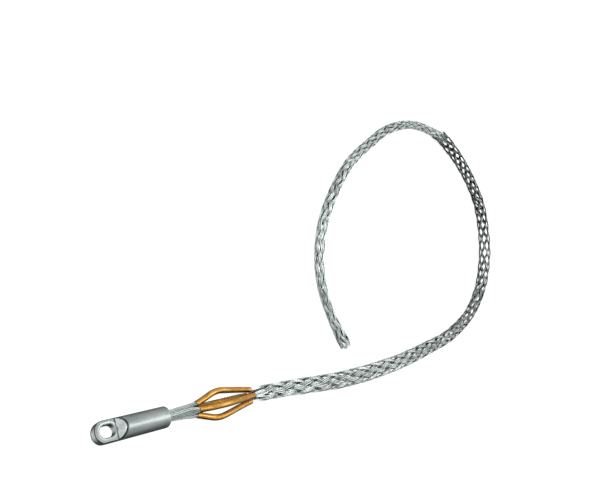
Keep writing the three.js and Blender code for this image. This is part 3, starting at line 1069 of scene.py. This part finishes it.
def cut_eye(eye):
    """Rounds the eye's tip in plan, mills its two cheeks and cuts the slot with its rounded mouths."""
    reach = EYE_RADIUS + CUTTER_MARGIN
    half = TAB_THICKNESS / 2
    behind = EYE_LENGTH + CUTTER_MARGIN
    wide = EYE_RADIUS + CUTTER_OVERLAP
    plan = arc(EYE_RADIUS, 0, EYE_RADIUS, 90, 270, TIP_STEPS) + [(behind, -wide), (behind, wide)]
    combine(eye, loose_object("plan", stack([(-reach, plan), (reach, plan)])), "INTERSECT")
    slot = slot_outline(0)
    combine(eye, loose_object("slot", stack([(-reach, slot), (reach, slot)])))
    lean = (reach - half) * math.tan(math.radians(SHOULDER_SLOPE))
    side = [
        (-CUTTER_MARGIN, half),
        (TAB_LENGTH, half),
        (TAB_LENGTH + lean, reach),
        (-CUTTER_MARGIN, reach),
    ]
    for turn in (0, math.pi):
        flip = Matrix.Rotation(turn, 4, "X")
        cheek = stack([(-reach, side), (reach, side)])
        cheek.transform(flip @ Matrix.Rotation(math.pi / 2, 4, "X"))
        combine(eye, loose_object("cheek", cheek))
        mouth = flare()
        mouth.transform(flip)
        combine(eye, loose_object("flare", mouth))


def soften(eye):
    remesh = eye.modifiers.new("even", "REMESH")
    remesh.mode = "VOXEL"
    remesh.voxel_size = REMESH_VOXEL
    smooth = eye.modifiers.new("soften", "SMOOTH")
    smooth.factor = SMOOTH_FACTOR
    smooth.iterations = SMOOTH_ROUNDS
    apply_modifiers(eye)


def build_eye():
    eye = turned_bar()
    cut_eye(eye)
    soften(eye)
    mesh = eye.data
    bpy.data.objects.remove(eye)
    # Painted highlights and painted shade, worked out in the eye's own frame
    rubbed = painted_light_at(vertex_values(mesh.vertices, "co"))
    tip = point_at(0, 0, 0)
    along = point_at(EYE_LENGTH, 0, 0) - tip
    turn = Matrix.Rotation(math.atan2(along.y, along.x), 4, "Z")
    roll = Matrix.Rotation(-math.radians(EYE_ROLL), 4, "X")
    mesh.transform(Matrix.Translation(tip) @ turn @ roll @ Matrix.Scale(MM, 4))
    # Painted shade on what turns from the light, and painted light on what faces the way of the tip
    normals = vertex_values(mesh.vertices, "normal")
    front = np.clip(-normals[:, 0], 0, 1) ** FRONT_SHARPNESS
    shelter = EYE_SHADE - EYE_SHADE_TURN * normals @ LIT_SIDE - EYE_SHADE_FRONT * front
    set_values(mesh, rub=rubbed, shelter=np.clip(shelter, EYE_SHADE_LEAST, 1))
    add_piece("dressed_eye", mesh, steel, ["pulling_eye"])


build_weaves()
build_tubes()
build_eye()


# Floor, light and world

FLOOR_HALF = 4
FLOOR_GREY = 0.35
FLOOR_ROUGHNESS = 0.9
FLOOR_GLOW = 0.89
FLOOR_GLOW_AWAY = 0.97
FLOOR_FADE = (0.75, 1.8)
WORLD_FILL = 0.12

# Name, place, aim, side in metres and power in watts of each square lamp
LAMPS = [
    ("front", (-0.85, 0.25, 0.95), (-0.1, -0.1, 0), 0.4, 10.3),
    ("back", (0.3, 0.1, 1), (-0.05, -0.1, 0), 0.3, 7.3),
]


def seen_directly(tree):
    """1 for rays from the camera and for those that metal or glass sends on."""
    path = tree.nodes.new("ShaderNodeLightPath")
    either = calc(tree, "MAXIMUM", path.outputs["Is Camera Ray"], path.outputs["Is Glossy Ray"])
    return calc(tree, "MAXIMUM", either, path.outputs["Is Transmission Ray"])


def floor_glow(tree):
    """A little under white round the object, where its shadow falls, and white away from it."""
    reach = tree.nodes.new("ShaderNodeVectorMath")
    reach.operation = "LENGTH"
    tree.links.new(tree.nodes.new("ShaderNodeTexCoord").outputs["Object"], reach.inputs[0])
    near, away = FLOOR_FADE
    fade = add_node(
        tree,
        "ShaderNodeMapRange",
        From_Min=near,
        From_Max=away,
        To_Min=FLOOR_GLOW,
        To_Max=FLOOR_GLOW_AWAY,
    )
    tree.links.new(reach.outputs["Value"], fade.inputs["Value"])
    return calc(tree, "MULTIPLY", seen_directly(tree), fade.outputs["Result"])


def make_floor():
    corners = [(-1, -1), (1, -1), (1, 1), (-1, 1)]
    body = bmesh.new()
    body.faces.new([body.verts.new((x * FLOOR_HALF, y * FLOOR_HALF, 0)) for x, y in corners])
    floor = loose_object("floor", body)
    material, tree, shader = new_material("floor_white")
    shader.inputs["Base Color"].default_value = (FLOOR_GREY, FLOOR_GREY, FLOOR_GREY, 1)
    shader.inputs["Roughness"].default_value = FLOOR_ROUGHNESS
    shader.inputs["Emission Color"].default_value = (1, 1, 1, 1)
    tree.links.new(floor_glow(tree), shader.inputs["Emission Strength"])
    floor.data.materials.append(material)


def make_world():
    world = bpy.data.worlds.new("studio")
    bpy.context.scene.world = world
    world.use_nodes = True
    tree = world.node_tree
    background = tree.nodes["Background"]
    background.inputs["Color"].default_value = (1, 1, 1, 1)
    strength = weighted(tree, (seen_directly(tree), 1 - WORLD_FILL), WORLD_FILL)
    tree.links.new(strength, background.inputs["Strength"])


def area_light(name, place, aim, side, power):
    data = bpy.data.lights.new(name, "AREA")
    data.size = side
    data.energy = power
    light = bpy.data.objects.new(name, data)
    light.location = place
    light.rotation_euler = (Vector(aim) - Vector(place)).to_track_quat("-Z", "Y").to_euler()
    bpy.context.scene.collection.objects.link(light)


make_floor()
make_world()
for lamp in LAMPS:
    area_light(*lamp)
bpy.context.scene.view_settings.view_transform = "Standard"
